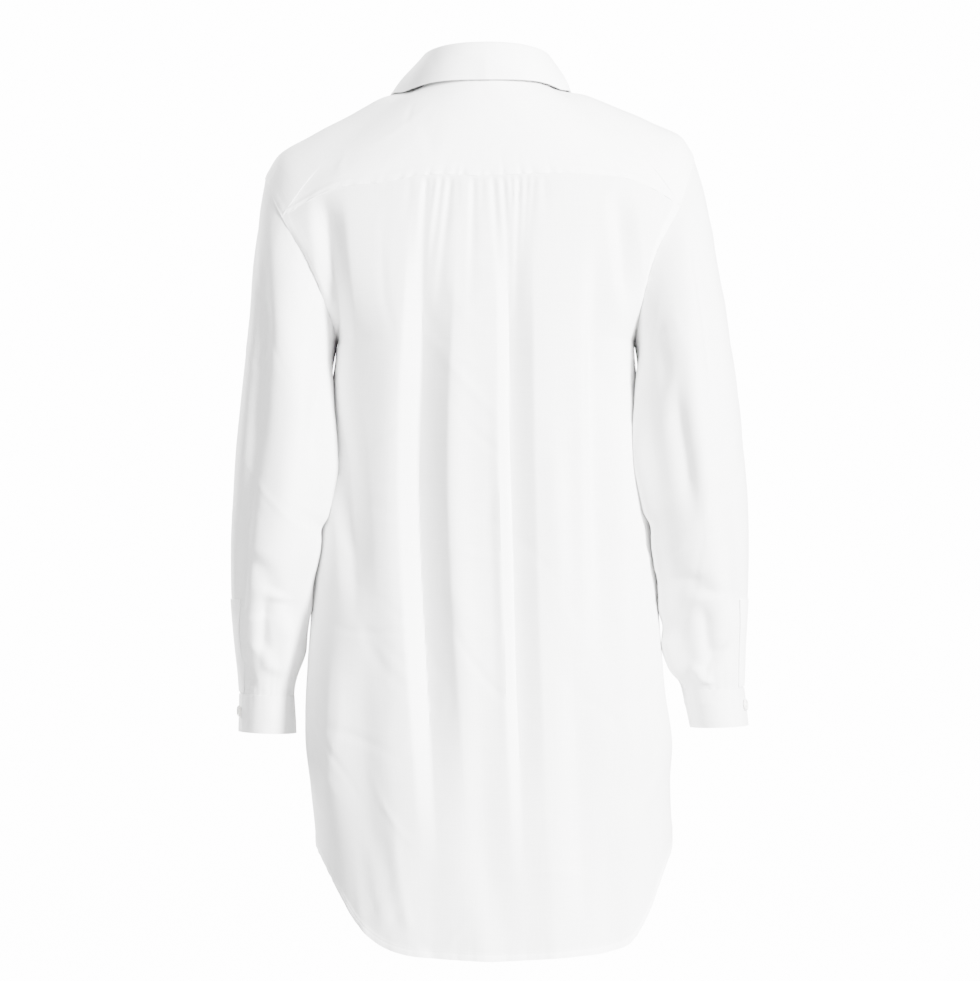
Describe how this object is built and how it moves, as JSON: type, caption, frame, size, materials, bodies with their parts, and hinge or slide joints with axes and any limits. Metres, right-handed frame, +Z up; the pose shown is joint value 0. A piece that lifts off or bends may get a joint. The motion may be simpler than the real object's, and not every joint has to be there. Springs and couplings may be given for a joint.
{
  "type": "long-sleeved linen tunic shirt, worn shape",
  "caption": "Long loose shirt-tailed tunic with yoke, gathered back, fold-over collar, button front and buttoned cuffs, hollow as worn.",
  "frame": {"origin": "centre of the neck base, at the height of the neck point, where the wearer's shoulders hold the garment", "axes": "+Z up, +Y out of the garment's back, +X to the wearer's left; the front opening faces -Y"},
  "size_m": [0.5188, 0.2604, 0.9033],
  "materials": {
    "linen": "matt plain-weave white linen, slightly slubby",
    "button": "pearly off-white shirt button"
  },
  "bodies": {
    "root": {"back": "linen", "yoke": "linen", "front_left": "linen", "front_right": "linen", "placket_buttons": "linen", "placket_buttonholes": "linen", "collar_stand": "linen", "collar_fall": "linen", "sleeve_left": "linen", "sleeve_right": "linen", "sleeve_placket_left": "linen", "sleeve_placket_right": "linen", "cuff_left": "linen", "cuff_right": "linen", "button_collar": "button", "button_front_1": "button", "button_front_2": "button", "button_front_3": "button", "button_front_4": "button", "button_front_5": "button", "button_front_6": "button", "button_front_7": "button", "button_cuff_left": "button", "button_cuff_right": "button"}
  },
  "joints": []
}
